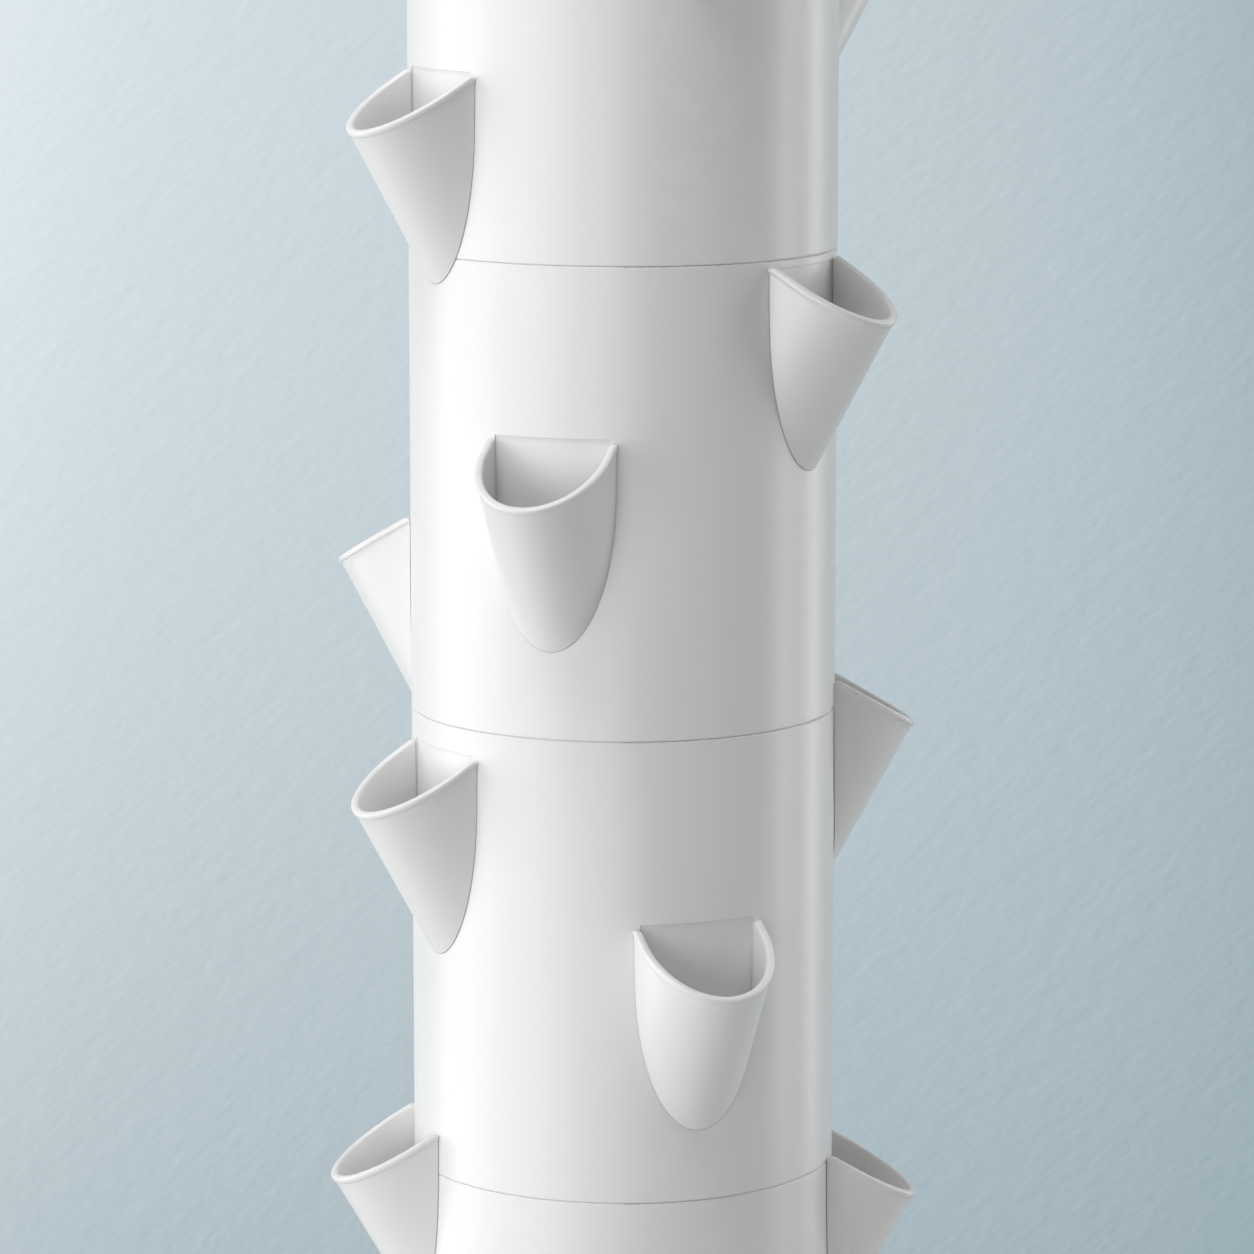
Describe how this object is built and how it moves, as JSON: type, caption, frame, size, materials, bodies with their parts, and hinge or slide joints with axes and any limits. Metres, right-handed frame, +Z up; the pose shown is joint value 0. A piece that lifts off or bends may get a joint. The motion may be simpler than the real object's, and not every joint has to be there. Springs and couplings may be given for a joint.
{
  "type": "hydroponic tower",
  "caption": "Round stacked column with leaning half-cup planting pockets on a covered water reservoir.",
  "frame": {"origin": "on the floor, under the middle of the column", "axes": "+Z up along the column; -Y is the front, with the drain tap; +X is the side with the filler"},
  "size_m": [0.409, 0.441, 1.1908],
  "materials": {
    "white_plastic": "satin",
    "grey_plastic": "matt",
    "black_plastic": "matt",
    "black_rubber": "matt",
    "green_plastic": "gloss",
    "steel": "brushed"
  },
  "bodies": {
    "base": {"tub": "white_plastic", "feet": "black_rubber", "pump_housing": "black_plastic", "pump_strainer": "grey_plastic", "pump_outlet": "black_plastic", "pump_feet": "black_rubber", "riser_lower": "white_plastic", "riser_coupler": "white_plastic", "riser_upper": "white_plastic", "distributor": "white_plastic", "tap_body": "grey_plastic", "tap_washer": "black_rubber", "tap_nut": "grey_plastic", "riser_guide_1": "grey_plastic", "riser_guide_2": "grey_plastic", "riser_guide_3": "grey_plastic", "riser_guide_4": "grey_plastic"},
    "lid": {"lid": "white_plastic", "lid_seal": "black_rubber", "cable_grommet": "black_rubber", "flap_pin": "steel", "gauge_bush": "black_plastic"},
    "flap": {"filler_flap": "white_plastic"},
    "gauge": {"float": "green_plastic", "float_stem": "grey_plastic", "float_knob": "green_plastic"},
    "tap": {"tap_lever": "green_plastic", "tap_spindle": "grey_plastic", "tap_screw": "steel"},
    "cap": {"top_cap": "white_plastic"},
    "section_1": {"section_1": "white_plastic", "pocket_1a": "white_plastic", "pocket_1b": "white_plastic", "pocket_1c": "white_plastic", "pocket_1d": "white_plastic"},
    "section_2": {"section_2": "white_plastic", "pocket_2a": "white_plastic", "pocket_2b": "white_plastic", "pocket_2c": "white_plastic", "pocket_2d": "white_plastic"},
    "section_3": {"section_3": "white_plastic", "pocket_3a": "white_plastic", "pocket_3b": "white_plastic", "pocket_3c": "white_plastic", "pocket_3d": "white_plastic"},
    "section_4": {"section_4": "white_plastic", "pocket_4a": "white_plastic", "pocket_4b": "white_plastic", "pocket_4c": "white_plastic", "pocket_4d": "white_plastic"}
  },
  "joints": [
    {"name": "lid_lift", "type": "slide", "parent": "base", "child": "lid", "axis": [0, 0, 1], "range_m": [0, 0.06]},
    {"name": "flap_hinge", "type": "hinge", "parent": "lid", "child": "flap", "pos_m": [0.11207, 0, 0.2615], "axis": [0, -1, 0], "range_deg": [0, 90]},
    {"name": "float_travel", "type": "slide", "parent": "lid", "child": "gauge", "axis": [0, 0, 1], "range_m": [0, 0.15]},
    {"name": "tap_turn", "type": "hinge", "parent": "base", "child": "tap", "pos_m": [0, -0.21006, 0.054], "axis": [0, 0, 1], "range_deg": [-90, 0]},
    {"name": "section_1_turn", "type": "hinge", "parent": "lid", "child": "section_1", "pos_m": [0, 0, 0.29], "axis": [0, 0, 1], "continuous": true},
    {"name": "section_2_turn", "type": "hinge", "parent": "section_1", "child": "section_2", "pos_m": [0, 0, 0.507], "axis": [0, 0, 1], "continuous": true},
    {"name": "section_3_turn", "type": "hinge", "parent": "section_2", "child": "section_3", "pos_m": [0, 0, 0.724], "axis": [0, 0, 1], "range_deg": [-90, 170]},
    {"name": "section_4_turn", "type": "hinge", "parent": "section_3", "child": "section_4", "pos_m": [0, 0, 0.941], "axis": [0, 0, 1], "range_deg": [-190, 80]},
    {"name": "cap_lift", "type": "slide", "parent": "section_4", "child": "cap", "axis": [0, 0, 1], "range_m": [0, 0.05]}
  ]
}
